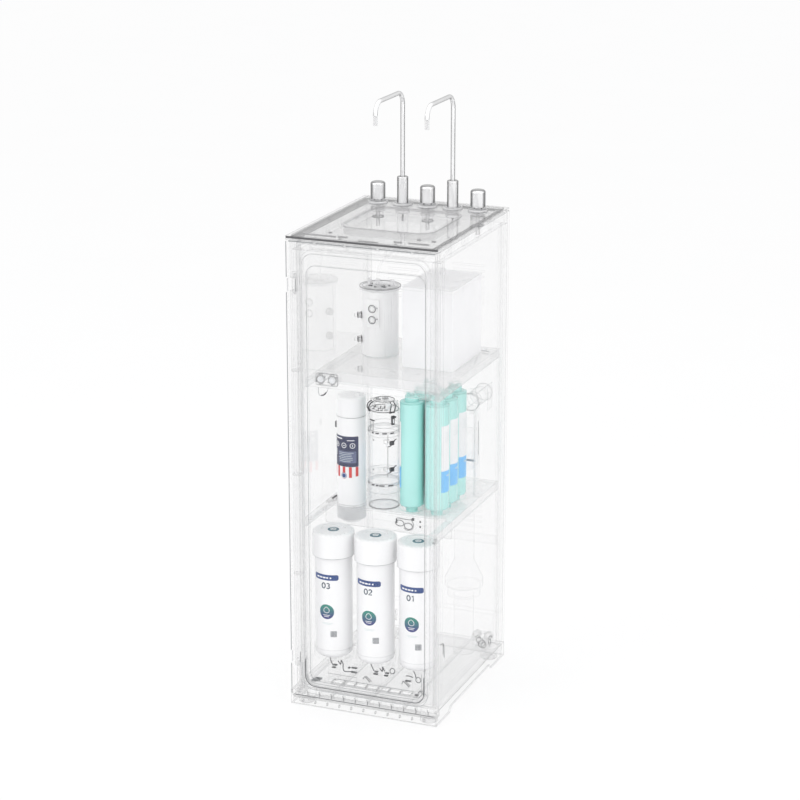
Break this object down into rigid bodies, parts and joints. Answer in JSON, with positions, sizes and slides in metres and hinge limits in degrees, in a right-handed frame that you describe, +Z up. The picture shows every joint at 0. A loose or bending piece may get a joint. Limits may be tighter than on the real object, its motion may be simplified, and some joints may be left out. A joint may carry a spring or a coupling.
{
  "type": "hot and cold water purifier",
  "caption": "Floor-standing clear cabinet with a hinged glazed door, a glass top with swivel spouts, turning knobs and a drip tray, and the tanks, filters and pump inside.",
  "frame": {"origin": "on the floor under the middle of the cabinet's footprint", "axes": "+Z up, front with the door at -Y, +X to the right seen from the front"},
  "size_m": [0.33, 0.415, 1.2628],
  "materials": {
    "clear_shell": "clear, glossy",
    "clear_frame": "clear, slightly milky",
    "rubber": "matt",
    "gasket": "soft",
    "glass_top": "grey tinted, polished",
    "pane": "clear, polished",
    "bezel": "smoke grey, glossy",
    "tray": "clear grey",
    "shelf": "mirror gloss",
    "chrome": "polished",
    "steel": "satin",
    "housing": "white gloss",
    "clear_tank": "clear",
    "mineral": "teal, translucent look",
    "foam": "white, soft",
    "fitting": "light grey",
    "dark_fitting": "dark grey",
    "pump_metal": "satin grey",
    "tube": "white"
  },
  "bodies": {
    "cabinet": {"base_pan": "clear_frame", "foot_pads": "rubber", "side_panel_left": "clear_shell", "side_panel_right": "clear_shell", "back_panel": "clear_shell", "side_liners": "shelf", "top_frame": "clear_frame", "top_bezel": "bezel", "top_glass": "glass_top", "drip_tray": "tray", "shelf_upper": "shelf", "shelf_fascia": "clear_frame", "shelf_lower": "shelf", "rear_crossbar": "clear_frame", "switch_bezels": "fitting", "hinge_brackets": "steel", "hinge_pins": "steel", "tap_escutcheons": "clear_frame", "tap_nuts": "fitting", "faucet_collars": "chrome", "faucet_shanks": "clear_tank", "valve_bodies": "clear_tank", "hot_tank_shell": "steel", "hot_tank_lid": "dark_fitting", "hot_tank_ports": "dark_fitting", "hot_tank_thermostats": "dark_fitting", "cold_tank_jacket": "foam", "cold_tank_lid": "foam", "cold_tank_inner": "clear_tank", "membrane_housing": "housing", "membrane_head": "housing", "buffer_tank": "clear_tank", "buffer_tank_cap": "clear_tank", "mineral_filters": "mineral", "filter_rack": "clear_frame", "booster_pump": "pump_metal", "pump_bracket": "fitting", "control_box": "fitting", "prefilter_bodies": "housing", "prefilter_caps": "housing", "prefilter_heads": "clear_tank", "accumulator": "clear_tank", "inlet_valve": "dark_fitting", "water_fittings": "fitting", "power_inlet": "dark_fitting", "outlet_tubes": "tube"},
    "door": {"door_frame": "clear_shell", "door_liner": "clear_frame", "door_window": "pane", "door_gasket": "gasket", "door_hinge_stile": "clear_frame"},
    "spout_hot": {"spout_hot": "chrome", "spout_tip_hot": "clear_tank"},
    "spout_cold": {"spout_cold": "chrome", "spout_tip_cold": "clear_tank"},
    "knob_left": {"knob_left": "chrome"},
    "knob_middle": {"knob_middle": "chrome"},
    "knob_right": {"knob_right": "chrome"},
    "rocker_hot": {"switch_rocker_hot": "fitting"},
    "rocker_cold": {"switch_rocker_cold": "fitting"}
  },
  "joints": [
    {"name": "door_swing", "type": "hinge", "parent": "cabinet", "child": "door", "pos_m": [-0.149, -0.1975, 0.5], "axis": [0, 0, -1], "range_deg": [0, 90]},
    {"name": "hot_spout_swivel", "type": "hinge", "parent": "cabinet", "child": "spout_hot", "pos_m": [-0.0545, 0.15, 1.06], "axis": [0, 0, 1], "range_deg": [-60, 20]},
    {"name": "cold_spout_swivel", "type": "hinge", "parent": "cabinet", "child": "spout_cold", "pos_m": [0.0585, 0.15, 1.06], "axis": [0, 0, 1], "range_deg": [-20, 60]},
    {"name": "left_knob_turn", "type": "hinge", "parent": "cabinet", "child": "knob_left", "pos_m": [-0.11099, 0.15, 1.04], "axis": [0, 0, 1], "range_deg": [0, 90]},
    {"name": "middle_knob_turn", "type": "hinge", "parent": "cabinet", "child": "knob_middle", "pos_m": [0.002, 0.15, 1.04], "axis": [0, 0, 1], "range_deg": [0, 90]},
    {"name": "right_knob_turn", "type": "hinge", "parent": "cabinet", "child": "knob_right", "pos_m": [0.11499, 0.15, 1.04], "axis": [0, 0, 1], "range_deg": [0, 90]},
    {"name": "hot_switch_rock", "type": "hinge", "parent": "cabinet", "child": "rocker_hot", "pos_m": [-0.1115, -0.1586, 0.71], "axis": [-1, 0, 0], "range_deg": [0, 16]},
    {"name": "cold_switch_rock", "type": "hinge", "parent": "cabinet", "child": "rocker_cold", "pos_m": [-0.0855, -0.1586, 0.71], "axis": [-1, 0, 0], "range_deg": [0, 16]}
  ]
}
